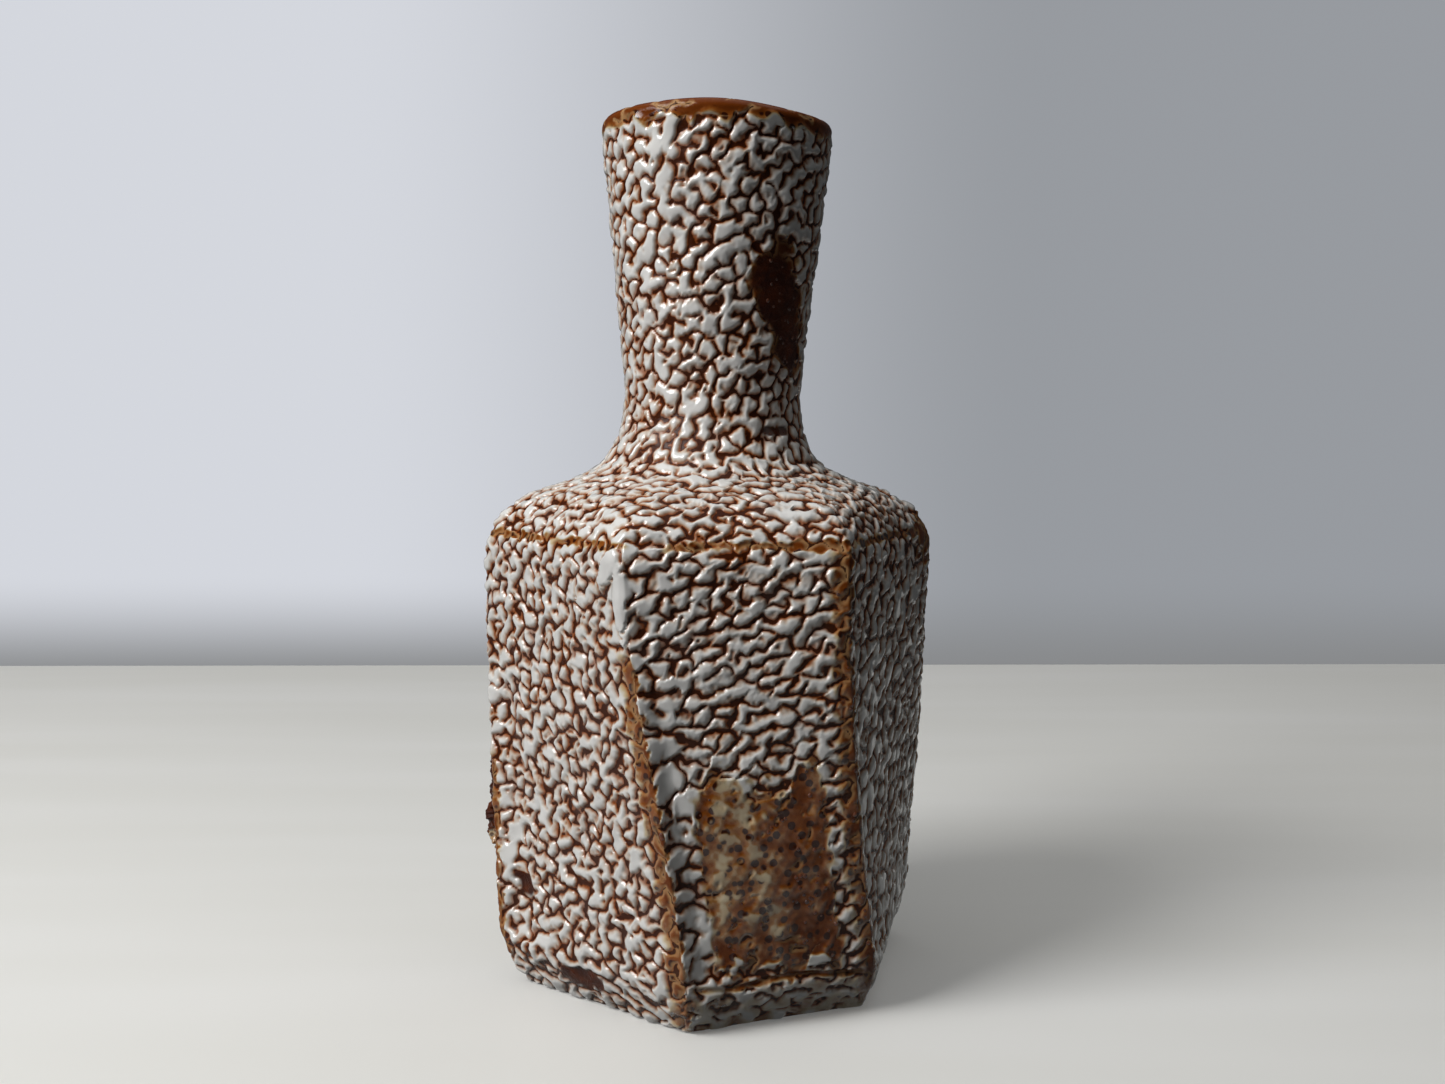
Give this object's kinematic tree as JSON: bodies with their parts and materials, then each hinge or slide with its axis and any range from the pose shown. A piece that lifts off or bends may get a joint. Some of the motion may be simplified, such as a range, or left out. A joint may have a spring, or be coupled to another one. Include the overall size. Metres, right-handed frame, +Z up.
{
  "type": "sake bottle",
  "caption": "Hand-made stoneware sake bottle: six twisting facets, domed shoulder and flared round neck under a thick crawled white glaze.",
  "frame": {"origin": "centre of the flat foot, on the surface that the bottle stands on", "axes": "+Z up through the mouth; the front facet faces -Y; +X is to the right seen from the front"},
  "size_m": [0.086, 0.0828, 0.1604],
  "materials": {
    "clay": "matte, unglazed iron-bearing stoneware",
    "white_glaze": "glossy, crawled into beads with brown clay showing between them",
    "iron_glaze": "semi-gloss iron brown",
    "liner_glaze": "glossy, smooth"
  },
  "bodies": {
    "root": {"clay_body": "clay", "clay_neck": "clay", "neck_coil": "clay", "clay_burr": "clay", "facet_glaze_1": "white_glaze", "facet_glaze_2": "white_glaze", "facet_glaze_3": "white_glaze", "facet_glaze_4": "white_glaze", "facet_glaze_5": "white_glaze", "facet_glaze_6": "white_glaze", "foot_glaze": "white_glaze", "shoulder_glaze": "white_glaze", "neck_glaze": "white_glaze", "lip_glaze": "iron_glaze", "chamber_liner": "liner_glaze", "neck_liner": "liner_glaze"}
  },
  "joints": []
}
